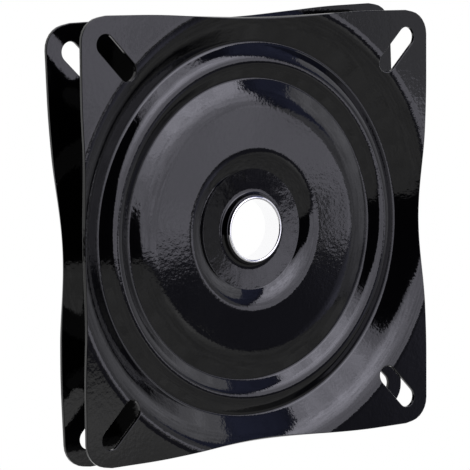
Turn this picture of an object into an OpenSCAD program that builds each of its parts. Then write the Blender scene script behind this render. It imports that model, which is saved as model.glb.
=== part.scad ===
// Lazy susan bearing: two square pressed plates that turn on a ring of balls,
// held together by a tubular rivet through the drawn collars of their hubs.
// The bearing lies flat, the axis of turning is +Z and the origin is the centre
// of the lower mounting face.

/* [Plate outline] */
// Width of the square plate across its flats
plate_w = 180; // [176:1:188]
// How far each side is drawn in at its middle
side_pinch = 2.4; // [0:0.1:3]
// Half length of the drawn-in stretch of a side
pinch_half = 62; // [50:1:68]
// Radius of the corner arcs
corner_r = 10; // [8:0.5:12]
// How far the corner arc lies inside the front and back edges
corner_drop = 0.5; // [0.2:0.1:1.4]
// Angle at which the corner arc runs out into a straight
corner_turn = 80; // [70:1:81]
// Turn of the bottom plate against the top plate
plate_turn = 2.17; // [0:0.01:10]

/* [Fixing slots] */
// Width of a slot
slot_w = 8.5; // [5:0.1:9]
// Overall length of a slot
slot_l = 23.5; // [14:0.5:26]
// Distance from the two nearest plate edges to a slot's centre
slot_inset = 16.88; // [15:0.02:18]

/* [Pressed sheet] */
// Thickness of the sheet
sheet_t = 1.6; // [1.2:0.05:1.8]
// Radial run of the cone, from the outer foot to the flat corners
cone_run = 12.97; // [12:0.01:15]
// Fillet between the flat corners and the cone
cone_fillet = 22; // [12:0.5:24]
// Radial run of each flank of the race bead, from its crest to the foot beside it
bead_run = 7.4; // [7:0.1:7.8]
// Depth of both feet below the mounting face
foot_depth = 8.75; // [8.5:0.05:8.9]
// Fillet at the bottom of a foot
foot_fillet = 2.2; // [0.6:0.1:2.4]
// Depth of the crest of the race bead
bead_depth = 5.72; // [5.6:0.02:5.9]
// Slope of both flanks of the bead
bead_slope = 30; // [28:1:32]
// Fillet over the crest of the bead
bead_fillet = 8; // [6:0.5:8]
// Radial run from the inner foot to the shoulder of the domed web
shoulder_run = 8.7; // [7.5:0.1:10]
// Depth of the domed web at its shoulder
dome_out_depth = 6.2; // [6:0.05:6.4]
// Fillet over the shoulder of the domed web
dome_out_fillet = 34; // [18:1:36]
// Radial run from the inner edge of the domed web to the crease round the hub
hub_wall_run = 4.6; // [4:0.1:5.5]
// Depth of the domed web at its inner edge
dome_in_depth = 5.82; // [5.6:0.02:6]
// Fillet over the inner edge of the domed web
dome_in_fillet = 17.5; // [10:0.5:18]

/* [Hub and rivet] */
// Radial width of the hub, from the rivet to the crease round it
hub_w = 12.1; // [11.6:0.1:12.8]
// Depth of the crease round the hub
crease_depth = 8.7; // [8.5:0.05:8.8]
// Fillet in the crease
crease_fillet = 0.8; // [0.4:0.1:1]
// Slope at which the hub is dished
hub_slope = 2; // [0:0.25:3]
// Thickness of the drawn collar
collar_t = 1.3; // [1:0.05:1.4]
// Fillet between the hub and the collar
collar_fillet = 1.2; // [0.6:0.1:1.5]
// Depth of the rims of the collars
rim_depth = 6.55; // [6:0.05:7]
// Rounding of the rims of the collars
rim_fillet = 0.3; // [0.2:0.05:0.4]
// Outer radius of the tubular rivet
rivet_r = 13.3; // [12.8:0.1:13.8]
// Wall of the tubular rivet
rivet_wall = 0.7; // [0.5:0.05:0.9]
// Radius of the rolled lips of the rivet
lip_r = 0.7; // [0.6:0.05:0.8]
// Running clearance of the plates on the rivet
rivet_clear = 0.08; // [0.05:0.01:0.1]
// End play of the top plate under the rivet lip
lip_clear = 0.1; // [0.05:0.01:0.2]

/* [Balls and cage] */
// Diameter of the balls
ball_d = 7.14; // [7:0.02:7.3]
// Number of balls
ball_count = 30; // [24:1:32]
// Clearance between a ball and each race
race_clear = 0.08; // [0.05:0.01:0.1]
// Radius of the circle the balls run on
race_r = 70.6; // [70.3:0.1:70.9]
// Radial width of the cage
cage_w = 8.8; // [8.4:0.1:9]
// Thickness of the cage
cage_t = 2.4; // [1.6:0.1:2.8]
// Clearance between a ball and its pocket
pocket_clear = 0.15; // [0.1:0.01:0.25]

/* [Smoothness] */
// Straights in each fillet of the pressed section
fillet_steps = 6; // [3:1:12]
// Facets of a full circle
round_facets = 96; // [48:8:180]

/* [Hidden] */
$fn = round_facets;
eps = 0.01;
ball_r = ball_d / 2;
half = plate_w / 2;
slot_r = (half - slot_inset) * sqrt(2);
foot_out_r = race_r + bead_run;
foot_in_r = race_r - bead_run;
cone_top_r = foot_out_r + cone_run;
dome_out_r = foot_in_r - shoulder_run;
crease_r = rivet_r + hub_w;
dome_in_r = crease_r + hub_wall_run;
// Height of the whole bearing, set by the balls between the two beads
height = 2 * (bead_depth + sheet_t + race_clear) + ball_d;
mid_z = height / 2;
enamel = [0.09, 0.09, 0.1];
zinc = [0.82, 0.83, 0.84];
nylon = [0.9, 0.88, 0.82];
steel = [0.7, 0.71, 0.73];

// Vertex of the bead whose fillet brings the crest to its depth
bead_rise = bead_fillet * (1 / cos(bead_slope) - 1);
bead_vertex = [race_r, bead_depth - bead_rise];

// Outside of the drawn collar and the depth of the dished hub there
collar_r = rivet_r + rivet_clear + collar_t;
hub_depth = crease_depth + (crease_r - collar_r) * tan(hub_slope);

// Visible face of a plate as [radius, depth, fillet], from outside the corners to the rim
face_path = [
  [plate_w, 0, 0],
  [cone_top_r, 0, cone_fillet],
  [foot_out_r, foot_depth, foot_fillet],
  [bead_vertex.x, bead_vertex.y, bead_fillet],
  [foot_in_r, foot_depth, foot_fillet],
  [dome_out_r, dome_out_depth, dome_out_fillet],
  [dome_in_r, dome_in_depth, dome_in_fillet],
  [crease_r, crease_depth, crease_fillet],
  [collar_r, hub_depth, collar_fillet],
  [collar_r, rim_depth, rim_fillet],
];

function unit(v) = v / norm(v);
function flat(p) = [p[0], p[1]];
function cross2(a, b) = a.x * b.y - a.y * b.x;

// Thickness of the sheet under stretch i of a path: the collar is drawn thinner
function stretch_t(path, i) = i == len(path) - 2 ? collar_t : sheet_t;

// Line of stretch i moved to the hidden face of the sheet, as [point, direction]
function hidden_line(path, i) =
  let (p = flat(path[i]), d = unit(flat(path[i + 1]) - p))
  [p + stretch_t(path, i) * [d.y, -d.x], d];

function meet(a, b) = a[0] + a[1] * cross2(b[0] - a[0], b[1]) / cross2(a[1], b[1]);

// Turn of the path at vertex i, positive where the visible face is domed
function bend(path, i) =
  cross2(flat(path[i + 1]) - flat(path[i]), flat(path[i]) - flat(path[i - 1]));

// Hidden face of the sheet as [radius, depth, fillet]
function hidden_path(path) =
  let (last = len(path) - 1)
  [for (i = [0 : last])
    i == 0 ? concat(hidden_line(path, 0)[0], 0)
    : i == last
      ? concat(flat(path[i]) + (hidden_line(path, i - 1)[0] - flat(path[i - 1])), path[i][2])
      : concat(
          meet(hidden_line(path, i - 1), hidden_line(path, i)),
          path[i][2] + (bend(path, i) > 0 ? -1 : 1) * stretch_t(path, i)
        )
  ];

// Points of the fillet at b between the stretches to a and c
function fillet(a, b, c, r) =
  let (
    u = unit(a - b),
    v = unit(c - b),
    half_angle = acos(u * v) / 2,
    run = r / tan(half_angle),
    centre = b + unit(u + v) * r / sin(half_angle),
    from = b + u * run - centre,
    sweep = 180 - 2 * half_angle,
    turn = cross2(from, b + v * run - centre) > 0 ? 1 : -1
  )
  [for (i = [0 : fillet_steps])
    let (w = turn * sweep * i / fillet_steps)
    centre + [from.x * cos(w) - from.y * sin(w), from.x * sin(w) + from.y * cos(w)]
  ];

function rounded(path) =
  let (last = len(path) - 1)
  [for (i = [0 : last])
    each (i == 0 || i == last
      ? [flat(path[i])]
      : fillet(flat(path[i - 1]), flat(path[i]), flat(path[i + 1]), path[i][2]))
  ];

function reversed(list) = [for (i = [len(list) - 1 : -1 : 0]) list[i]];

// Closed section of the sheet, in radius and depth
function section(path) = rounded(concat(path, reversed(hidden_path(path))));

// Distance of a side from the centre at t along it
function side_at(t) =
  half - (abs(t) < pinch_half ? side_pinch * (1 + cos(180 * t / pinch_half)) / 2 : 0);

// One quarter of the outline, from the middle of the right side to the middle of the back
corner_centre = [half - corner_r, half - corner_r - corner_drop];
corner_end = corner_centre + corner_r * [cos(corner_turn), sin(corner_turn)];
straight_end = corner_end.x - (half - corner_end.y) * tan(corner_turn);
pinch_steps = 8;
corner_steps = 6;
quarter = concat(
  [for (i = [0 : pinch_steps]) let (t = pinch_half * i / pinch_steps) [side_at(t), t]],
  [for (i = [0 : corner_steps])
    let (w = corner_turn * i / corner_steps)
    corner_centre + corner_r * [cos(w), sin(w)]
  ],
  [[straight_end, half]],
  [for (i = [pinch_steps : -1 : 0]) let (t = pinch_half * i / pinch_steps) [t, side_at(t)]]
);
outline = concat(
  quarter,
  [for (p = reversed(quarter)) if (p.x > 0) [-p.x, p.y]],
  [for (p = quarter) if (p.y > 0) [-p.x, -p.y]],
  [for (p = reversed(quarter)) if (p.x > 0 && p.y > 0) [p.x, -p.y]]
);

module slot_cutter() {
  run = (slot_l - slot_w) / 2;
  for (i = [0 : 3])
    rotate(45 + 90 * i)
      translate([slot_r, 0, -eps]) {
        translate([-run, -slot_w / 2, 0])
          cube([2 * run, slot_w, height]);
        for (side = [-1, 1])
          translate([side * run, 0, 0])
            cylinder(h = height, d = slot_w);
      }
}

// Pressed plate with its mounting face at depth 0 and the depth running up +Z
module pressed_plate() {
  difference() {
    intersection() {
      rotate_extrude()
        polygon(section(face_path));
      translate([0, 0, -eps])
        linear_extrude(height)
          polygon(outline);
    }
    slot_cutter();
  }
}

module top_plate() {
  color(enamel)
    translate([0, 0, height])
      mirror([0, 0, 1])
        pressed_plate();
}

module bottom_plate() {
  color(enamel)
    rotate(plate_turn)
      pressed_plate();
}

function lip_arc(level, turns) =
  let (lip_x = rivet_r - rivet_wall + lip_r)
  [for (w = turns) [lip_x + lip_r * cos(w), level + lip_r * sin(w)]];

// Tubular rivet with a lip rolled over each collar rim
module centre_eyelet() {
  low = rim_depth;
  high = height - rim_depth + lip_clear;
  steps = 2 * fillet_steps;
  color(zinc)
    rotate_extrude()
      polygon(concat(
        lip_arc(high, [for (i = [0 : steps]) 180 * i / steps]),
        lip_arc(low, [for (i = [0 : steps]) 180 + 180 * i / steps]),
        [[rivet_r, low], [rivet_r, high]]
      ));
}

// Ring with one through pocket for each ball
module ball_cage() {
  color(nylon)
    translate([0, 0, mid_z - cage_t / 2])
      difference() {
        cylinder(h = cage_t, r = race_r + cage_w / 2);
        translate([0, 0, -eps])
          cylinder(h = cage_t + 2 * eps, r = race_r - cage_w / 2);
        for (i = [1 : ball_count])
          rotate(360 * i / ball_count)
            translate([race_r, 0, -eps])
              cylinder(h = cage_t + 2 * eps, r = ball_r + pocket_clear, $fn = 32);
      }
}

module ball(i) {
  color(steel)
    rotate(360 * i / ball_count)
      translate([race_r, 0, mid_z])
        sphere(d = ball_d, $fn = 24);
}

function ball_name(i) = str("ball_", i < 10 ? "0" : "", i);

bottom_plate();
centre_eyelet();
top_plate();
ball_cage();
for (i = [1 : ball_count])
  ball(i);
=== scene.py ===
"""Looks of the lazy susan bearing: enamelled pressings, a zinc plated rivet, steel balls, a nylon cage.

Lengths are in millimetres up to the point where a mesh is made; meshes are in metres.
The studio's panels are placed by directions, given as the x and y of a unit vector.
"""

import math

import bpy
import numpy as np
from mathutils import Matrix, Vector
from mathutils.geometry import delaunay_2d_cdt


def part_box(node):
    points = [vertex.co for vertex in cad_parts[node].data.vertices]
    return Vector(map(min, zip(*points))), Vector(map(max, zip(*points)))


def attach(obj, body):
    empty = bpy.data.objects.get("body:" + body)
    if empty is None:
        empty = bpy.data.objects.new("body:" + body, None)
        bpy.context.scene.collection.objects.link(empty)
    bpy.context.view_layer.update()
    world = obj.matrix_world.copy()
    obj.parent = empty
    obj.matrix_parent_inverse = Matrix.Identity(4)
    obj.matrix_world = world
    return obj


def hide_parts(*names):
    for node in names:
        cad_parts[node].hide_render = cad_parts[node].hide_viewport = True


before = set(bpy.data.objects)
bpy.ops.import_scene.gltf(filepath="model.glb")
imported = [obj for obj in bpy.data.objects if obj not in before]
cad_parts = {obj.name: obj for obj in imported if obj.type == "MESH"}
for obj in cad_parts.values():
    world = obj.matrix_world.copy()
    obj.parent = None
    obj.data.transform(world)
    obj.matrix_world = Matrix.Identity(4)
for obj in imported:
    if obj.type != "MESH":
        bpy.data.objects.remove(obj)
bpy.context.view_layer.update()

MM = 0.001

# Sizes, as in the part's source

HEIGHT = (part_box("top_plate")[1][2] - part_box("bottom_plate")[0][2]) / MM
MIDDLE = HEIGHT / 2

# Outline: half the plate's width, its sides drawn in along a stretch, its corner arcs
HALF = 90.0
SIDE_PINCH, PINCH_HALF = 2.4, 62.0
CORNER_R, CORNER_DROP, CORNER_TURN = 10.0, 0.5, math.radians(80)

# Turn of the bottom plate against the top plate
PLATE_TURN = math.radians(2.17)

# Width, length and distance from the axis of the four slots
SLOT_W, SLOT_L, SLOT_R = 8.5, 23.5, 103.4

# Thickness of the sheet, and the rounding of its cut edges
SHEET, SHEET_EDGE = 1.6, 0.3

# Rivet, with the plates' clearance on it
RIVET_R, RIVET_WALL, LIP_R = 13.3, 0.7, 0.7
RIVET_CLEAR, LIP_CLEAR = 0.08, 0.1

# Collar that is drawn from the hub round the rivet
BORE_R = RIVET_R + RIVET_CLEAR
COLLAR, COLLAR_FILLET = 1.3, 1.2
RIM_DEPTH, RIM_EDGE = 6.55, 0.3

# Dished hub and the crease round it
HUB_W, HUB_SLOPE = 12.1, math.tan(math.radians(2))
CREASE_R, CREASE_DEPTH, CREASE_FILLET = RIVET_R + HUB_W, 8.7, 0.8

# Race bead with a foot on either side
BEAD_R, BEAD_CREST, BEAD_FILLET, BEAD_ANGLE = 70.6, 5.72, 8.0, math.radians(30)
BEAD_VERTEX = BEAD_CREST - BEAD_FILLET * (1 / math.cos(BEAD_ANGLE) - 1)
BEAD_RUN, FOOT_DEPTH, FOOT_FILLET = 7.4, 8.75, 2.2
FOOT_OUT_R, FOOT_IN_R = BEAD_R + BEAD_RUN, BEAD_R - BEAD_RUN

# Cone from the outer foot to the flat corners, and domed web between the inner foot and the hub
CONE_RUN, CONE_FILLET = 12.97, 22.0
SHOULDER_RUN, DOME_OUT_DEPTH, DOME_OUT_FILLET = 8.7, 6.2, 34.0
HUB_WALL_RUN, DOME_IN_DEPTH, DOME_IN_FILLET = 4.6, 5.82, 17.5

BALL_D, BALL_COUNT = 7.14, 30

# Vertices of a plate's visible face, from the corners to the hub: name, radius, depth, fillet
SECTION = [
    ("Cone top", FOOT_OUT_R + CONE_RUN, 0.0, CONE_FILLET),
    ("Outer foot", FOOT_OUT_R, FOOT_DEPTH, FOOT_FILLET),
    ("Bead", BEAD_R, BEAD_VERTEX, BEAD_FILLET),
    ("Inner foot", FOOT_IN_R, FOOT_DEPTH, FOOT_FILLET),
    ("Web shoulder", FOOT_IN_R - SHOULDER_RUN, DOME_OUT_DEPTH, DOME_OUT_FILLET),
    ("Web inner edge", CREASE_R + HUB_WALL_RUN, DOME_IN_DEPTH, DOME_IN_FILLET),
    ("Hub crease", CREASE_R, CREASE_DEPTH, CREASE_FILLET),
]

# Fineness of the meshes

TURNS = 360
SIDE_POINTS, CORNER_STEPS = 50, 6
CAP_POINTS, STRAIGHT_POINTS = 21, 12
EDGE_LEANS = np.radians([22.5, 45, 67.5, 90])
FILLET_STEPS = 6
SECTION_RINGS, SHARP_BEND_RINGS, ROUND_BEND_RINGS = 12, 6, 14
SHARP_BEND, LEAST_RING_GAP = 1.0, 0.05
RIVET_TURNS, LIP_POINTS = 192, 17
BALL_SEGMENTS, BALL_RINGS = 32, 16

# The turned middle of a blank ends at the seam; loose points fill the cone's fillet outside it
SEAM_R, COLLAR_SEAM_R = 84.5, 17.2
LOOSE_GAP, LOOSE_END_R, LOOSE_CLEAR = 0.7, 98.7, 0.75
SAME_POINT = 1e-6


def creases():
    """Each bend of the section as name, radius, change of slope and half width."""
    slopes = [0.0]
    for (_, r0, d0, _), (_, r1, d1, _) in zip(SECTION, SECTION[1:]):
        slopes.append((d1 - d0) / (r0 - r1))
    slopes.append(HUB_SLOPE)
    found = []
    for (name, r, _, fillet), a, b in zip(SECTION, slopes, slopes[1:]):
        low, high = math.atan(a), math.atan(b)
        run = fillet * math.tan(abs(high - low) / 2)
        found.append((name, r, b - a, run * (math.cos(low) + math.cos(high)) / 2))
    return found


def hub_depth(r):
    """Depth of the hub's visible face at this radius."""
    return CREASE_DEPTH + (CREASE_R - r) * HUB_SLOPE


# Node helpers


class Tree:
    """A node tree that is filled by short calls."""

    def __init__(self, tree):
        self.tree = tree

    def node(self, kind, inputs=(), out=0, **settings):
        """A new node; returns the output named by out, or the node where out is None."""
        made = self.tree.nodes.new(kind)
        for key, value in settings.items():
            setattr(made, key, value)
        for key, value in dict(inputs).items():
            socket = made.inputs[key]
            if isinstance(value, bpy.types.NodeSocket):
                self.link(value, socket)
            else:
                socket.default_value = value
        return made.outputs[out] if out is not None else made

    def link(self, output, socket):
        self.tree.links.new(output, socket)

    def math(self, operation, a, b=0.0, c=0.0, clamp=False):
        kind = "ShaderNodeMath"
        return self.node(kind, {0: a, 1: b, 2: c}, operation=operation, use_clamp=clamp)

    def vector(self, operation, a, b=(0, 0, 0), out=0):
        return self.node("ShaderNodeVectorMath", {0: a, 1: b}, out, operation=operation)

    def scale(self, a, amount):
        return self.node("ShaderNodeVectorMath", {0: a, "Scale": amount}, operation="SCALE")

    def blend(self, value, low, high, start=0.0, end=1.0):
        """From low to high as value goes from start to end."""
        limits = {"From Min": start, "From Max": end, "To Min": low, "To Max": high}
        return self.node("ShaderNodeMapRange", {"Value": value, **limits})


FLOAT, VECTOR, WHOLE = "NodeSocketFloat", "NodeSocketVector", "NodeSocketInt"
GEOMETRY, MATERIAL = "NodeSocketGeometry", "NodeSocketMaterial"


def group_tree(name, kind, inputs, outputs):
    """A new node group with its interface; inputs are name, socket type and default."""
    tree = bpy.data.node_groups.new(name, kind)
    for label, socket_type, default in inputs:
        socket = tree.interface.new_socket(label, in_out="INPUT", socket_type=socket_type)
        if default is not None:
            socket.default_value = default
    for label, socket_type in outputs:
        tree.interface.new_socket(label, in_out="OUTPUT", socket_type=socket_type)
    t = Tree(tree)
    return t, t.node("NodeGroupInput", out=None).outputs, t.node("NodeGroupOutput", out=None).inputs


# Shape trees


def crease_group():
    """Adds one bend to a pressed section: its slope changes evenly over the width of the bend."""
    t, given, result = group_tree(
        "Crease",
        "GeometryNodeTree",
        [
            ("Radius", FLOAT, 0.0),
            ("Depth", FLOAT, 0.0),
            ("Slope", FLOAT, 0.0),
            ("Crease radius", FLOAT, 0.0),
            ("Turn", FLOAT, 0.0),
            ("Half width", FLOAT, MM),
        ],
        [("Depth", FLOAT), ("Slope", FLOAT)],
    )
    inward = t.math("SUBTRACT", given["Crease radius"], given["Radius"])
    x = t.math("DIVIDE", inward, given["Half width"])
    share = t.math("MULTIPLY_ADD", x, 0.5, 0.5, clamp=True)
    beyond = t.math("MAXIMUM", t.math("SUBTRACT", x, 1.0), 0.0)
    rise = t.math("MULTIPLY_ADD", share, share, beyond)
    rise = t.math("MULTIPLY", rise, given["Half width"])
    t.link(t.math("MULTIPLY_ADD", rise, given["Turn"], given["Depth"]), result["Depth"])
    t.link(t.math("MULTIPLY_ADD", share, given["Turn"], given["Slope"]), result["Slope"])
    return t.tree


def press_tree(crease_names):
    """Presses a flat blank: lifts every point to the section and lays the edges round it."""
    crease = crease_group()
    sizes = [
        (f"{name} {what}", FLOAT, default)
        for name in crease_names
        for what, default in (("radius", 0.0), ("turn", 0.0), ("half width", MM))
    ]
    t, given, result = group_tree(
        "Press",
        "GeometryNodeTree",
        [("Blank", GEOMETRY, None), ("Face height", FLOAT, 0.0), ("Side", FLOAT, 1.0)]
        + sizes
        + [("Material", MATERIAL, None)],
        [("Geometry", GEOMETRY)],
    )
    place = t.node("GeometryNodeInputPosition")
    radius = t.vector("LENGTH", place, out="Value")
    depth, slope = 0.0, 0.0
    for name in crease_names:
        sockets = {
            "Radius": radius,
            "Depth": depth,
            "Slope": slope,
            "Crease radius": given[f"{name} radius"],
            "Turn": given[f"{name} turn"],
            "Half width": given[f"{name} half width"],
        }
        bend = t.node("GeometryNodeGroup", sockets, out=None, node_tree=crease)
        depth, slope = bend.outputs["Depth"], bend.outputs["Slope"]

    side = given["Side"]
    outward = t.vector("NORMALIZE", place)
    up = t.node("ShaderNodeCombineXYZ", {"Z": side})
    normal = t.vector("NORMALIZE", t.vector("SUBTRACT", up, t.scale(outward, slope)))
    drop = t.math("MULTIPLY", depth, side)
    level = t.node("ShaderNodeCombineXYZ", {"Z": t.math("SUBTRACT", given["Face height"], drop)})
    surface = t.vector("ADD", place, level)

    def stored(name, kind="FLOAT"):
        return t.node("GeometryNodeInputNamedAttribute", {"Name": name}, data_type=kind)

    edge = stored("edge", "FLOAT_VECTOR")
    along = t.scale(normal, t.vector("DOT_PRODUCT", edge, normal, out="Value"))
    tangent = t.vector("NORMALIZE", t.vector("SUBTRACT", edge, along))
    moved = t.vector("ADD", surface, t.scale(tangent, stored("reach")))
    moved = t.vector("SUBTRACT", moved, t.scale(normal, stored("sink")))
    lean = stored("lean")
    facing = t.vector(
        "ADD",
        t.scale(normal, t.math("COSINE", lean)),
        t.scale(tangent, t.math("SINE", lean)),
    )
    faces = t.node(
        "GeometryNodeStoreNamedAttribute",
        {"Geometry": given["Blank"], "Name": "facing", "Value": facing},
        data_type="FLOAT_VECTOR",
        domain="POINT",
    )
    shaped = t.node("GeometryNodeSetPosition", {"Geometry": faces, "Position": moved})
    made = t.node("GeometryNodeRealizeInstances", {"Geometry": shaped})
    made = t.node("GeometryNodeSetMaterial", {"Geometry": made, "Material": given["Material"]})
    t.link(made, result["Geometry"])
    return t.tree


def ball_ring_tree():
    """A ring of balls on the race circle."""
    t, given, result = group_tree(
        "Ball ring",
        "GeometryNodeTree",
        [
            ("Count", WHOLE, 1),
            ("Race radius", FLOAT, MM),
            ("Ball radius", FLOAT, MM),
            ("Height", FLOAT, 0.0),
            ("Material", MATERIAL, None),
        ],
        [("Geometry", GEOMETRY)],
    )
    circle = {"Vertices": given["Count"], "Radius": given["Race radius"]}
    ball = {"Segments": BALL_SEGMENTS, "Rings": BALL_RINGS, "Radius": given["Ball radius"]}
    lift = t.node("ShaderNodeCombineXYZ", {"Z": given["Height"]})
    ring = t.node("GeometryNodeMeshCircle", circle)
    ring = t.node("GeometryNodeSetPosition", {"Geometry": ring, "Offset": lift})
    ball = t.node("GeometryNodeMeshUVSphere", ball)
    balls = t.node("GeometryNodeInstanceOnPoints", {"Points": ring, "Instance": ball})
    balls = t.node("GeometryNodeRealizeInstances", {"Geometry": balls})
    balls = t.node("GeometryNodeSetShadeSmooth", {"Geometry": balls})
    balls = t.node("GeometryNodeSetMaterial", {"Geometry": balls, "Material": given["Material"]})
    t.link(balls, result["Geometry"])
    return t.tree


def placed(name, data):
    """A new object of this mesh or camera, in the scene and at the origin."""
    made = bpy.data.objects.new(name, data)
    bpy.context.scene.collection.objects.link(made)
    return made


def grown(name, base, tree, values):
    """The plain mesh that a tree makes from a base mesh with these input values."""
    holder = placed(name + "_holder", base)
    modifier = holder.modifiers.new("Shape", "NODES")
    modifier.node_group = tree
    sockets = {s.name: s.identifier for s in tree.interface.items_tree if s.in_out == "INPUT"}
    for label, value in values.items():
        modifier[sockets[label]] = value
    seen = holder.evaluated_get(bpy.context.evaluated_depsgraph_get())
    mesh = bpy.data.meshes.new_from_object(seen)
    holder.modifiers.remove(modifier)
    bpy.data.objects.remove(holder)
    mesh.name = name
    return placed(name, mesh)


# The flat blank of a plate


def side_at(t):
    """How far out the pinched side lies at this distance from its middle."""
    if abs(t) >= PINCH_HALF:
        return HALF
    return HALF - SIDE_PINCH * (1 + math.cos(math.pi * t / PINCH_HALF)) / 2


def outline():
    """Points of the plate's outline, anticlockwise from the middle of the right side."""
    centre = np.array([HALF - CORNER_R, HALF - CORNER_R - CORNER_DROP])
    side = [(side_at(t), t) for t in np.linspace(0, PINCH_HALF, SIDE_POINTS)]
    arc = [
        (centre[0] + CORNER_R * math.cos(w), centre[1] + CORNER_R * math.sin(w))
        for w in np.linspace(0, CORNER_TURN, CORNER_STEPS + 1)
    ]
    run_out = (HALF - arc[-1][1]) * math.tan(CORNER_TURN)
    quarter = side + arc + [(arc[-1][0] - run_out, HALF)] + [(y, x) for x, y in side[::-1]]
    half = quarter + [(-x, y) for x, y in quarter[-2::-1]]
    return np.array(half[:-1] + [(-x, -y) for x, y in half[:-1]])


def turn_in_plane(w):
    """The matrix that turns rows of x and y by this angle, anticlockwise."""
    return np.array([[math.cos(w), math.sin(w)], [-math.sin(w), math.cos(w)]])


def slot_outline(k):
    """Points of slot k, clockwise, so that the sheet lies on the left of every loop."""
    run = (SLOT_L - SLOT_W) / 2
    cap = [
        (run + SLOT_W / 2 * math.cos(w), SLOT_W / 2 * math.sin(w))
        for w in np.linspace(math.pi / 2, -math.pi / 2, CAP_POINTS)
    ]
    straight = [(x, -SLOT_W / 2) for x in np.linspace(run, -run, STRAIGHT_POINTS)[1:-1]]
    half = np.array(cap + straight)
    points = np.vstack([half, -half]) + [SLOT_R, 0]
    return points @ turn_in_plane(math.radians(45 + 90 * k))


def unit(vectors):
    """The rows scaled to length 1."""
    return vectors / np.linalg.norm(vectors, axis=1)[:, None]


def outward(loop):
    """Unit directions in the plane that point out of the sheet at each point of a loop."""
    ahead = unit(np.roll(loop, -1, 0) - loop)
    behind = unit(loop - np.roll(loop, 1, 0))
    run = unit(ahead + behind)
    return np.stack([run[:, 1], -run[:, 0]], 1)


def inside(points, loop):
    """True for each point that a closed loop goes round."""
    x, y = points[:, 0, None], points[:, 1, None]
    a, b = loop, np.roll(loop, -1, 0)
    crosses = (a[:, 1] > y) != (b[:, 1] > y)
    with np.errstate(divide="ignore", invalid="ignore"):
        at = a[:, 0] + (y - a[:, 1]) / (b[:, 1] - a[:, 1]) * (b[:, 0] - a[:, 0])
    return (crosses & (x < at)).sum(1) % 2 == 1


def ring_points(r, count=TURNS):
    """Points of a circle round the axis."""
    w = np.arange(count) * 2 * math.pi / count
    return np.stack([r * np.cos(w), r * np.sin(w)], 1)


def edge_rows():
    """Sink, reach and lean of the rows that carry a cut edge from one face to the other."""
    near = [(SHEET_EDGE * (1 - math.cos(a)), SHEET_EDGE * math.sin(a), a) for a in EDGE_LEANS]
    return near + [(SHEET - sink, reach, math.pi - lean) for sink, reach, lean in near[::-1]]


def fillet(a, b, c, r):
    """Points of the fillet at b between the straights to a and c."""
    u, v = (a - b) / np.linalg.norm(a - b), (c - b) / np.linalg.norm(c - b)
    half = math.acos(np.clip(u @ v, -1, 1)) / 2
    centre = b + (u + v) / np.linalg.norm(u + v) * r / math.sin(half)
    start = b + u * r / math.tan(half) - centre
    end = b + v * r / math.tan(half) - centre
    sweep = math.atan2(start[0] * end[1] - start[1] * end[0], start @ end)
    return [centre + start @ turn_in_plane(w) for w in np.linspace(0, sweep, FILLET_STEPS + 1)]


def rounded(path):
    """Points of a path whose inner vertices are (x, y, fillet), with the normal of each point."""
    flat = [np.array(p[:2], float) for p in path]
    points = [flat[0]]
    for i in range(1, len(path) - 1):
        points += fillet(flat[i - 1], flat[i], flat[i + 1], path[i][2])
    points = np.array(points + [flat[-1]])
    run = np.gradient(points, axis=0)
    ahead, behind = unit(np.roll(points, -1, 0) - points), unit(points - np.roll(points, 1, 0))
    run[1:-1] = (ahead + behind)[1:-1]
    run = unit(run)
    return points, np.stack([run[:, 1], -run[:, 0]], 1)


def collar_rows():
    """Sink, reach and lean of the drawn collar's rows, from the hub's visible face to its hidden one."""
    tilt = math.atan(HUB_SLOPE)
    start = np.array([COLLAR_SEAM_R, hub_depth(COLLAR_SEAM_R)])
    tangent = np.array([-math.cos(tilt), math.sin(tilt)])
    normal = np.array([-math.sin(tilt), -math.cos(tilt)])
    wall = BORE_R + COLLAR
    thick = SHEET / math.cos(tilt)
    path = [
        (*start, 0),
        (wall, hub_depth(wall), COLLAR_FILLET),
        (wall, RIM_DEPTH, RIM_EDGE),
        (BORE_R, RIM_DEPTH, RIM_EDGE),
        (BORE_R, hub_depth(BORE_R) + thick, COLLAR_FILLET + COLLAR),
        (*(start - SHEET * normal), 0),
    ]
    points, into_sheet = rounded(path)
    rows = []
    for p, n in list(zip(points, -into_sheet))[1:-1]:
        away = p - start
        lean = math.atan2(n @ tangent, n @ normal) % (2 * math.pi)
        rows.append((-(away @ normal), away @ tangent, lean))
    return rows


def section_radii():
    """Radii of the rings between the collar and the seam, close together in the bends."""
    radii = set(np.linspace(COLLAR_SEAM_R, SEAM_R, SECTION_RINGS))
    for _, r, _, half_width in creases():
        count = SHARP_BEND_RINGS if half_width < SHARP_BEND else ROUND_BEND_RINGS
        radii |= set(np.linspace(r - half_width, r + half_width, count + 1))
    kept = []
    for r in sorted(x for x in radii if COLLAR_SEAM_R <= x <= SEAM_R):
        if not kept or r - kept[-1] > LEAST_RING_GAP:
            kept.append(r)
    kept[-1] = SEAM_R
    return kept


def triangulated(points, edges):
    """Places and faces of a flat net through these points that keeps these edges."""
    net = [Vector((float(x), float(y))) for x, y in points]
    coords, _, faces, _, _, _ = delaunay_2d_cdt(net, edges, [], 0, SAME_POINT)
    flat = np.array([tuple(c) for c in coords])
    return flat, faces, np.array([flat[list(f)].mean(0) for f in faces])


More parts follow.
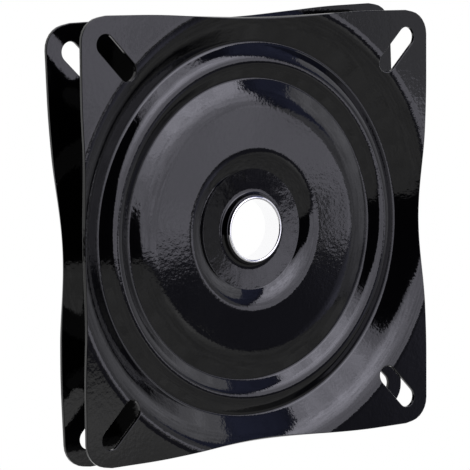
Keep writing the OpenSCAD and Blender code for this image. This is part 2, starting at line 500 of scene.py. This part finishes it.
def corner_sheet(outer_loops, walls):
    """Triangles between the seam ring and the outline, with rings of points in the cone's fillet."""
    rings = [ring_points(r) for r in np.arange(SEAM_R + LOOSE_GAP, LOOSE_END_R, LOOSE_GAP)]
    loose = np.vstack(rings)
    keep = np.ones(len(loose), bool)
    for k, wall in enumerate(walls):
        keep &= inside(loose, wall) == (k == 0)
        gap = np.linalg.norm(loose[:, None] - wall[None], axis=2).min(1)
        keep &= gap > LOOSE_CLEAR
    parts = [ring_points(SEAM_R)] + outer_loops + [loose[keep]]
    starts = np.cumsum([0] + [len(p) for p in parts])
    edges = []
    for start, part in zip(starts, parts[:-1]):
        n = len(part)
        edges += [(start + i, start + (i + 1) % n) for i in range(n)]
    points = np.vstack(parts)
    flat, faces, middle = triangulated(points, edges)
    assert len(flat) == len(points), "the blank's loops touch"
    wanted = inside(middle, outer_loops[0]) & ~inside(middle, parts[0])
    for loop in outer_loops[1:]:
        wanted &= ~inside(middle, loop)
    return flat, [list(f) for f, use in zip(faces, wanted) if use], starts


def bridge(a, b, inner):
    """Quads between two rows of a loop; the collar's loop runs the other way round the sheet."""
    following = np.roll(np.arange(len(a)), -1)
    if inner:
        return [[a[i], a[j], b[j], b[i]] for i, j in enumerate(following)]
    return [[a[i], b[i], b[j], a[j]] for i, j in enumerate(following)]


def blank(name, side, turn):
    """The flat blank of a plate: both faces and the edges between them, with what the press reads."""
    walls = [outline()] + [slot_outline(k) for k in range(4)]
    edges_out = [outward(w) for w in walls]
    loops = [w - SHEET_EDGE * n for w, n in zip(walls, edges_out)]
    flat, corner_faces, starts = corner_sheet(loops, walls)

    radii = section_radii()[:-1]
    base = len(flat)
    face_xy = np.vstack([flat] + [ring_points(r) for r in radii])
    ring_starts = [base + TURNS * i for i in range(len(radii))] + [0]
    upper = list(corner_faces)
    for a, b in zip(ring_starts, ring_starts[1:]):
        for i in range(TURNS):
            j = (i + 1) % TURNS
            upper.append([a + i, b + i, b + j, a + j])
    count = len(face_xy)

    xy = [face_xy, face_xy]
    sink = [np.zeros(count), np.full(count, SHEET)]
    reach = [np.zeros(count), np.zeros(count)]
    lean = [np.zeros(count), np.full(count, math.pi)]
    edge = [np.zeros((count, 2)), np.zeros((count, 2))]
    faces = upper + [[v + count for v in f[::-1]] for f in upper]
    size = 2 * count

    rims = [(start, out, edge_rows()) for start, out in zip(starts[1:], edges_out)]
    rims.append((base, -ring_points(1.0), collar_rows()))
    for start, out, rows in rims:
        n = len(out)
        index = np.arange(n)
        last = start + index
        for row_sink, row_reach, row_lean in rows:
            xy.append(face_xy[start : start + n])
            sink.append(np.full(n, row_sink))
            reach.append(np.full(n, row_reach))
            lean.append(np.full(n, row_lean))
            edge.append(out)
            here = size + index
            faces += bridge(last, here, start == base)
            last, size = here, size + n
        faces += bridge(last, count + start + index, start == base)
        edge[0][start : start + n] = out
        edge[1][start : start + n] = out

    if side < 0:
        faces = [f[::-1] for f in faces]
    fields = {
        "sink": np.concatenate(sink) * MM,
        "reach": np.concatenate(reach) * MM,
        "lean": np.concatenate(lean),
    }
    spin = turn_in_plane(turn)
    return blank_mesh(name, np.vstack(xy) @ spin, faces, fields, np.vstack(edge) @ spin)


def in_plane(xy):
    """Rows of x and y as points of the plane at height 0."""
    return np.column_stack([xy, np.zeros(len(xy))])


def blank_mesh(name, xy, faces, fields, edge):
    """The blank as a mesh in metres, with its fields and the edge's direction on its points."""
    mesh = bpy.data.meshes.new(name + "_blank")
    mesh.from_pydata(in_plane(xy) * MM, [], [list(map(int, f)) for f in faces])
    for label, values in fields.items():
        stored = mesh.attributes.new(label, "FLOAT", "POINT")
        stored.data.foreach_set("value", values.astype(np.float32))
    stored = mesh.attributes.new("edge", "FLOAT_VECTOR", "POINT")
    stored.data.foreach_set("vector", in_plane(edge).astype(np.float32).ravel())
    return mesh


def pressed_plate(name, tree, material, face, side, turn):
    """The finished pressing: the blank put through the press, with the section's own normals."""
    values = {"Face height": face * MM, "Side": float(side), "Material": material}
    for crease, r, bend, half_width in creases():
        values[f"{crease} radius"] = r * MM
        values[f"{crease} turn"] = bend
        values[f"{crease} half width"] = half_width * MM
    made = grown(name + "_pressing", blank(name, side, turn), tree, values)
    mesh = made.data
    facing = np.zeros(len(mesh.vertices) * 3, np.float32)
    mesh.attributes["facing"].data.foreach_get("vector", facing)
    mesh.shade_smooth()
    mesh.normals_split_custom_set_from_vertices(facing.reshape(-1, 3))
    return made


# Turned pieces


def turned(name, points, facing, material):
    """A closed section of radius and height, turned round the axis."""
    around = ring_points(1.0, RIVET_TURNS)
    verts, normals = [], []
    for (r, z), (nr, nz) in zip(points, facing):
        verts.append(np.column_stack([around * r, np.full(RIVET_TURNS, z)]))
        normals.append(np.column_stack([around * nr, np.full(RIVET_TURNS, nz)]))
    faces = []
    for i in range(len(points)):
        a, b = i * RIVET_TURNS, (i + 1) % len(points) * RIVET_TURNS
        for k in range(RIVET_TURNS):
            m = (k + 1) % RIVET_TURNS
            faces.append([a + k, a + m, b + m, b + k])
    mesh = bpy.data.meshes.new(name)
    mesh.from_pydata(np.vstack(verts) * MM, [], faces)
    mesh.shade_smooth()
    mesh.normals_split_custom_set_from_vertices(np.vstack(normals))
    mesh.materials.append(material)
    return placed(name, mesh)


def rivet_section():
    """The rivet's section: bore, rolled lip, outside, lower lip, with a normal for each point."""
    low, high = RIM_DEPTH, HEIGHT - RIM_DEPTH + LIP_CLEAR
    lip_x = RIVET_R - RIVET_WALL + LIP_R
    points, facing = [], []
    for side, z in ((1, high), (-1, low)):
        span = np.linspace(0, math.pi, LIP_POINTS)[::side]
        roll = [(lip_x + LIP_R * math.cos(w), z + side * LIP_R * math.sin(w)) for w in span]
        face = [(math.cos(w), side * math.sin(w)) for w in span]
        seat = [((lip_x + LIP_R, z), (0, -side)), ((RIVET_R, z), (0, -side)), ((RIVET_R, z), (1, 0))]
        seat_points, seat_facing = zip(*seat[::-side])
        if side > 0:
            points += [*seat_points, *roll]
            facing += [*seat_facing, *face]
        else:
            points += [*roll, *seat_points]
            facing += [*face, *seat_facing]
    return points, facing


# Surface effects


def peel_group():
    """The slow and fine waves of sprayed enamel, as a normal."""
    t, given, result = group_tree(
        "Enamel peel",
        "ShaderNodeTree",
        [
            ("Place", VECTOR, None),
            ("Wave size", FLOAT, 6.0),
            ("Wave height", FLOAT, 0.03),
            ("Peel size", FLOAT, 1.4),
            ("Peel height", FLOAT, 0.017),
        ],
        [("Normal", VECTOR)],
    )
    normal = None
    for kind, detail in (("Wave", 1.0), ("Peel", 2.0)):
        rate = t.math("DIVIDE", 1.0 / MM, given[f"{kind} size"])
        noise = {"Vector": given["Place"], "Scale": rate, "Detail": detail}
        height = t.math("MULTIPLY", given[f"{kind} height"], MM)
        sockets = {"Height": t.node("ShaderNodeTexNoise", noise), "Distance": height, "Strength": 1.0}
        if normal is not None:
            sockets["Normal"] = normal
        normal = t.node("ShaderNodeBump", sockets)
    t.link(normal, result["Normal"])
    return t.tree


def speck_group():
    """Sparse dust and lint: a mask of small specks of uneven size."""
    t, given, result = group_tree(
        "Dust specks",
        "ShaderNodeTree",
        [
            ("Place", VECTOR, None),
            ("Spacing", FLOAT, 2.5),
            ("Speck size", FLOAT, 0.08),
            ("Share", FLOAT, 0.25),
        ],
        [("Mask", FLOAT)],
    )
    rate = t.math("DIVIDE", 1.0 / MM, given["Spacing"])
    cells = t.node("ShaderNodeTexVoronoi", {"Vector": given["Place"], "Scale": rate}, out=None)
    reach = t.math("DIVIDE", given["Speck size"], given["Spacing"])
    lot = t.node("ShaderNodeSeparateColor", {"Color": cells.outputs["Color"]}, out=None).outputs
    reach = t.math("MULTIPLY", reach, lot["Red"])
    near = t.math("LESS_THAN", cells.outputs["Distance"], reach)
    chosen = t.math("LESS_THAN", lot["Green"], given["Share"])
    t.link(t.math("MULTIPLY", near, chosen), result["Mask"])
    return t.tree


def scuff_group():
    """Long fine scuffs in one plane: a mask that varies the polish."""
    t, given, result = group_tree(
        "Fine scuffs",
        "ShaderNodeTree",
        [("Place", VECTOR, None), ("Spacing", FLOAT, 0.5), ("Stretch", FLOAT, 12.0)],
        [("Mask", FLOAT)],
    )
    rate = t.math("DIVIDE", 1.0 / MM, given["Spacing"])
    squeezed = t.math("DIVIDE", 1.0, given["Stretch"])
    thin = t.node("ShaderNodeCombineXYZ", {"X": 1.0, "Y": squeezed, "Z": squeezed})
    place = t.vector("MULTIPLY", given["Place"], thin)
    noise = {"Vector": place, "Scale": rate, "Detail": 3.0, "Roughness": 0.6}
    mask = t.blend(t.node("ShaderNodeTexNoise", noise), 0.0, 1.0, start=0.45, end=0.7)
    t.link(mask, result["Mask"])
    return t.tree


PEEL, SPECKS, SCUFFS = peel_group(), speck_group(), scuff_group()

# A Mix node's sockets for colours, which share their names with its other sockets
MIX_LOW, MIX_HIGH, MIX_RESULT = 6, 7, 2

# The enamel's ripple is fine on the hub and stronger outside it, from one radius to the other
RIPPLE_START_R, RIPPLE_END_R = 24.0, 34.0
HUB_RIPPLE, PLATE_RIPPLE = 0.011, 0.026


def new_material(name):
    """A material with its node tree, its Principled inputs and the place on the piece."""
    material = bpy.data.materials.new(name)
    material.use_nodes = True
    t = Tree(material.node_tree)
    surface = material.node_tree.nodes["Principled BSDF"].inputs
    return material, t, surface, t.node("ShaderNodeTexCoord", out="Object")


def use(t, group, inputs):
    """The output of an effect that is placed in this tree."""
    return t.node("ShaderNodeGroup", inputs, node_tree=group)


def mixed(t, mask, low, high):
    """The colour between two colours, by a mask."""
    sockets = {"Factor": mask, MIX_LOW: (*low, 1), MIX_HIGH: (*high, 1)}
    return t.node("ShaderNodeMix", sockets, MIX_RESULT, data_type="RGBA")


def enamel():
    """Gloss black stoved enamel: deep, slightly wavy, with a few specks of dust."""
    material, t, surface, place = new_material("Black enamel")
    specks = use(t, SPECKS, {"Place": place})
    scuffs = use(t, SCUFFS, {"Place": place})
    t.link(mixed(t, specks, (0.0018, 0.0018, 0.0022), (0.02, 0.02, 0.021)), surface["Base Color"])
    t.link(t.blend(scuffs, 0.05, 0.085), surface["Roughness"])
    radius = t.vector("LENGTH", t.vector("MULTIPLY", place, (1, 1, 0)), out="Value")
    ripple = t.blend(radius, HUB_RIPPLE, PLATE_RIPPLE, RIPPLE_START_R * MM, RIPPLE_END_R * MM)
    t.link(use(t, PEEL, {"Place": place, "Peel height": ripple}), surface["Normal"])
    surface["IOR"].default_value = 1.5
    return material


def zinc():
    """Bright zinc plate with fine draw marks."""
    material, t, surface, place = new_material("Zinc plate")
    scuffs = use(t, SCUFFS, {"Place": place, "Spacing": 0.3})
    surface["Base Color"].default_value = (0.95, 0.95, 0.96, 1)
    surface["Metallic"].default_value = 1.0
    t.link(t.blend(scuffs, 0.08, 0.16), surface["Roughness"])
    marks = {"Wave size": 1.5, "Wave height": 0.004, "Peel size": 0.2, "Peel height": 0.001}
    t.link(use(t, PEEL, {"Place": place, **marks}), surface["Normal"])
    return material


def steel():
    """Polished ball steel with a trace of grease."""
    material, t, surface, place = new_material("Ball steel")
    scuffs = use(t, SCUFFS, {"Place": place, "Spacing": 0.8, "Stretch": 3.0})
    surface["Base Color"].default_value = (0.62, 0.62, 0.63, 1)
    surface["Metallic"].default_value = 1.0
    t.link(t.blend(scuffs, 0.06, 0.22), surface["Roughness"])
    return material


def nylon():
    """Natural nylon, a little cloudy."""
    material, t, surface, place = new_material("Nylon")
    cloud = t.node("ShaderNodeTexNoise", {"Vector": place, "Scale": 160.0, "Detail": 3.0})
    t.link(mixed(t, cloud, (0.62, 0.59, 0.5), (0.72, 0.7, 0.62)), surface["Base Color"])
    t.link(t.blend(cloud, 0.4, 0.55), surface["Roughness"])
    waves = {"Place": place, "Wave size": 3.0, "Wave height": 0.01}
    t.link(use(t, PEEL, waves), surface["Normal"])
    return material


# Pieces

BLACK, ZINC, STEEL, NYLON = enamel(), zinc(), steel(), nylon()
PRESS = press_tree([name for name, *_ in creases()])

for node, body, face, side, turn in (
    ("top_plate", "top", HEIGHT, 1, 0.0),
    ("bottom_plate", "base", 0.0, -1, PLATE_TURN),
):
    pressing = pressed_plate(node, PRESS, BLACK, face, side, turn)
    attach(pressing, body)
    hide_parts(node)

rivet = turned("rivet", *rivet_section(), ZINC)
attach(rivet, "base")
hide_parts("centre_eyelet")

balls = grown(
    "balls",
    bpy.data.meshes.new("balls_base"),
    ball_ring_tree(),
    {
        "Count": BALL_COUNT,
        "Race radius": BEAD_R * MM,
        "Ball radius": BALL_D / 2 * MM,
        "Height": MIDDLE * MM,
        "Material": STEEL,
    },
)
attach(balls, "cage")
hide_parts(*[f"ball_{i:02d}" for i in range(1, BALL_COUNT + 1)])

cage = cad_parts["ball_cage"]
cage.data.materials.clear()
cage.data.materials.append(NYLON)

# Studio: panels on a dome round the object, each with the glow that the enamel mirrors

STUDIO_R = 1.2
STUDIO_CENTRE = Vector((0, 0, HEIGHT * MM))

# Fineness of the panels, in the unit of their directions
BORDER_STEPS, NET_STEP, NET_CLEAR = 6, 0.04, 0.01
NET_END_R, RIM_RINGS, RIM_RING_POINTS = math.sqrt(0.9), (0.955, 0.97, 0.985), 120
RIM_R, LEAST_RISE = 0.999, 0.01

# Toward the floor the panels fade to a tenth, over this stretch of their rise
FADE_START, FADE_RUN, FADE_LEAST = 0.06, 0.16, 0.1

# Unevenness of their light, as on cloth with folds
FOLDS_PER_METRE, FOLD_DEPTH = 16.0, 1.4

# Edges that two panels share, so that no dark seam shows between the screen, a bright sheet and a wall
SCREEN_RIGHT = [(0.64, 0.15), (0.62, 0.3), (0.55, 0.45), (0.42, 0.70), (0.25, 0.77)]
BRIGHT_LEFT = [(0.645, 0.1), (0.648, 0.04), (0.66, 0.012), (0.69, 0.0)]
BRIGHT_LEFT += [(0.725, -0.025), (0.765, -0.06), (0.78, -0.12)]
BRIGHT_RIGHT = [(0.825, 0.04), (0.83, 0.1)]
WALL_LEFT = [(0.77, 0.2), (0.74, 0.3), (0.76, 0.48)]


def ramp(x, start, run):
    """0 up to start, then evenly up to 1 over the run."""
    return np.clip((x - start) / run, 0, 1)


def spot(x, y, centre, reach):
    """A soft patch, 1 at its centre."""
    return np.exp(-(((x - centre[0]) / reach[0]) ** 2) - ((y - centre[1]) / reach[1]) ** 2)


def softbox_glow(x, y):
    """A lit screen, hottest above its middle and fading toward its left edge."""
    hot = 1.65 + 3.1 * spot(x, y, centre=(0.25, 0.46), reach=(0.38, 0.24))
    left_edge = 0.25 * np.clip(0.1 - y, 0, 1) - 0.3
    return hot * np.clip((x - left_edge) / 0.25, 0.25, 1)


def table_glow(x, y):
    """Lit cloth: brightest at its front edge, in shade to the right."""
    lit, shaded = 0.42, 0.15
    front = 0.34 * spot(x, y, centre=(0.47, -0.24), reach=(0.1, 0.06))
    return np.clip(lit - 0.2 * (x - 0.1), shaded, lit) + front


def wall_glow(x, y):
    """A wall that is brighter toward its top."""
    return np.clip(0.7 + 1.5 * y, 0.3, 1.05)


def shade_glow(x, y):
    """Deep shade that lifts a little toward the right."""
    return 0.11 + 0.36 * ramp(x, start=0.66, run=0.12)


def gap_glow(x, y):
    """Dark along the screen's right edge, a little lit beyond."""
    edge_x, edge_y = zip(BRIGHT_LEFT[0], *SCREEN_RIGHT[:-1])
    return 0.06 + 0.16 * ramp(x, start=np.interp(y, edge_y, edge_x), run=0.06)


def even_glow(level):
    """The same glow all over a panel."""
    return lambda x, y: np.full_like(x, level)


def rim(start, end, count=12):
    """Corners on the edge of the dome between two bearings, in degrees."""
    bearings = np.radians(np.linspace(start, end, count))
    return [(RIM_R * math.cos(w), RIM_R * math.sin(w)) for w in bearings]


# Panels as corners, glow and tint
PANELS = {
    "softbox": (
        [(-0.19, 0.6), (-0.17, 0.2), (-0.03, 0.08), (0.05, -0.06), (0.1, -0.165), (0.45, -0.15)]
        + [(0.55, -0.122), (0.6, -0.1), (0.624, -0.096), (0.637, -0.085), (0.65, -0.06)]
        + [(0.674, -0.06), (0.678, -0.12)]
        + BRIGHT_LEFT[::-1]
        + SCREEN_RIGHT
        + [(0.0, 0.74)],
        softbox_glow,
        (0.97, 0.955, 1.1),
    ),
    "stand": (
        [(0.628, -0.094), (0.64, -0.084), (0.653, -0.064), (0.671, -0.064), (0.675, -0.125)]
        + [(0.637, -0.123)],
        even_glow(0.32),
        (1, 1, 1.05),
    ),
    "sheet": (
        BRIGHT_LEFT + [(0.79, -0.1)] + BRIGHT_RIGHT + [(0.79, 0.115), (0.73, 0.12)],
        even_glow(0.55),
        (0.97, 0.97, 1.06),
    ),
    "table": (
        rim(-166, -19, 24) + [(0.80, -0.29), (0.64, -0.29), (0.57, -0.24), (0.54, -0.2), (0.05, -0.2)],
        table_glow,
        (1, 1, 1),
    ),
    "shade": (
        [(0.1, -0.17), (0.45, -0.155), (0.55, -0.127), (0.6, -0.105), (0.622, -0.101)]
        + [(0.634, -0.128), (0.69, -0.13), (0.79, -0.125), (0.81, -0.28), (0.79, -0.295)]
        + [(0.64, -0.285), (0.57, -0.235), (0.545, -0.195), (0.1, -0.195)],
        shade_glow,
        (0.92, 0.92, 1.22),
    ),
    "right_wall": (
        [(0.79, -0.1), (0.81, -0.285)] + rim(-18.8, 36) + WALL_LEFT[::-1] + BRIGHT_RIGHT[::-1],
        wall_glow,
        (0.97, 0.97, 1.06),
    ),
    "gap": (
        [BRIGHT_LEFT[0], (0.73, 0.12), (0.79, 0.115), BRIGHT_RIGHT[-1]]
        + WALL_LEFT
        + rim(36, 75, 10)
        + SCREEN_RIGHT[::-1],
        gap_glow,
        (0.75, 0.85, 1.6),
    ),
}


def plain_material(name):
    """A material with its node tree, for the studio."""
    material = bpy.data.materials.new(name)
    material.use_nodes = True
    return material, Tree(material.node_tree), material.node_tree.nodes


def glowing(name, tint):
    """Light as strong as the panel's glow says, a little uneven as on cloth with folds."""
    material, t, nodes = plain_material(name)
    nodes.remove(nodes["Principled BSDF"])
    glow = t.node("ShaderNodeAttribute", out="Fac", attribute_name="glow")
    place = t.node("ShaderNodeTexCoord", out="Object")
    folds = t.node("ShaderNodeTexNoise", {"Vector": place, "Scale": FOLDS_PER_METRE, "Detail": 3.0})
    uneven = t.math("MULTIPLY_ADD", folds, FOLD_DEPTH, 1 - FOLD_DEPTH / 2)
    strength = t.math("MULTIPLY", glow, uneven)
    light = t.node("ShaderNodeEmission", {"Color": (*tint, 1), "Strength": strength})
    t.link(light, nodes["Material Output"].inputs["Surface"])
    return material


def panel_net(corners):
    """The border of a panel, with the points that fill it after the border's own."""
    border = []
    for (x0, y0), (x1, y1) in zip(corners, corners[1:] + corners[:1]):
        for k in range(BORDER_STEPS):
            border.append((x0 + (x1 - x0) * k / BORDER_STEPS, y0 + (y1 - y0) * k / BORDER_STEPS))
    border = np.array(border)
    span = np.arange(-1, 1, NET_STEP)
    net = [(x, y) for x in span for y in span if x * x + y * y < NET_END_R**2]
    net = np.vstack([net] + [ring_points(r, RIM_RING_POINTS) for r in RIM_RINGS])
    net = net[inside(net, border)]
    far = np.linalg.norm(net[:, None] - border[None], axis=2).min(1) > NET_CLEAR
    return border, np.vstack([border, net[far]])


def panel(name, corners, glow, tint):
    """A panel on the dome that the camera itself doesn't see."""
    border, points = panel_net(corners)
    edges = [(i, (i + 1) % len(border)) for i in range(len(border))]
    flat, faces, middle = triangulated(points, edges)
    kept = [list(f) for f, keep in zip(faces, inside(middle, border)) if keep]
    rise = np.sqrt(np.maximum(LEAST_RISE**2, 1 - (flat**2).sum(1)))
    mesh = bpy.data.meshes.new(name)
    mesh.from_pydata(np.column_stack([flat, rise]) * STUDIO_R, [], kept)
    fade = np.clip((rise - FADE_START) / FADE_RUN, FADE_LEAST, 1)
    level = glow(flat[:, 0], flat[:, 1]) * fade
    stored = mesh.attributes.new("glow", "FLOAT", "POINT")
    stored.data.foreach_set("value", level.astype(np.float32))
    mesh.materials.append(glowing(name, tint))
    made = placed(name, mesh)
    made.location = STUDIO_CENTRE
    made.visible_camera = False


def white_floor():
    """A pale floor that the camera and bright metal see as plain white."""
    material, t, nodes = plain_material("Floor")
    pale = nodes["Principled BSDF"]
    pale.inputs["Base Color"].default_value = (0.8, 0.8, 0.8, 1)
    pale.inputs["Roughness"].default_value = 0.9
    ray = t.node("ShaderNodeLightPath", out=None).outputs
    seen = t.math("MAXIMUM", ray["Is Camera Ray"], ray["Is Glossy Ray"])
    white = t.node("ShaderNodeEmission", {"Color": (1, 1, 1, 1), "Strength": 1.0})
    both = t.node("ShaderNodeMixShader", {0: seen, 1: pale.outputs["BSDF"], 2: white})
    t.link(both, nodes["Material Output"].inputs["Surface"])

    reach = 4.0
    corners = [(-reach, -reach, 0), (reach, -reach, 0), (reach, reach, 0), (-reach, reach, 0)]
    mesh = bpy.data.meshes.new("floor")
    mesh.from_pydata(corners, [], [(0, 1, 2, 3)])
    mesh.materials.append(material)
    floor = placed("floor", mesh)


def dark_world():
    """Gives no light and is mirrored as black, but the camera sees it as white."""
    world = bpy.data.worlds.new("Studio")
    world.use_nodes = True
    t = Tree(world.node_tree)
    background = world.node_tree.nodes["Background"].inputs
    background["Color"].default_value = (1, 1, 1, 1)
    t.link(t.node("ShaderNodeLightPath", out="Is Camera Ray"), background["Strength"])
    bpy.context.scene.world = world


# The photo's view: the camera's angles, its distance in metres and its lens in millimetres
YAW, PITCH, ROLL = map(math.radians, (37.468, 5.8955, -0.483))
DISTANCE, LENS, SENSOR = 1.02863, 190.18, 36.0

# The photo's width, and where in it the middle of the front face lies, in pixels
PHOTO_WIDTH, MIDDLE_PIXEL = 470.0, (264.52, 230.65)


def camera():
    """The photo's view: a long lens that looks across the faces from the upper left."""
    aim_x, aim_y = MIDDLE_PIXEL[0] - PHOTO_WIDTH / 2, MIDDLE_PIXEL[1] - PHOTO_WIDTH / 2
    flat = math.cos(PITCH)
    back = Vector((-math.sin(YAW) * flat, math.sin(PITCH), math.cos(YAW) * flat))
    right = Vector((0, 1, 0)).cross(back).normalized()
    up = back.cross(right)
    right, up = (
        math.cos(ROLL) * right + math.sin(ROLL) * up,
        math.cos(ROLL) * up - math.sin(ROLL) * right,
    )
    per_pixel = DISTANCE * SENSOR / LENS / PHOTO_WIDTH
    aside = up * aim_y * per_pixel - right * aim_x * per_pixel
    place = STUDIO_CENTRE + back * DISTANCE + aside
    data = bpy.data.cameras.new("Camera")
    data.lens, data.sensor_width = LENS, SENSOR
    made = placed("Camera", data)
    made.matrix_world = Matrix.Translation(place) @ Matrix((right, up, back)).transposed().to_4x4()
    bpy.context.scene.camera = made


for label, (corners, glow, tint) in PANELS.items():
    panel(label, corners, glow, tint)
white_floor()
dark_world()
camera()
bpy.context.scene.view_settings.view_transform = "Standard"
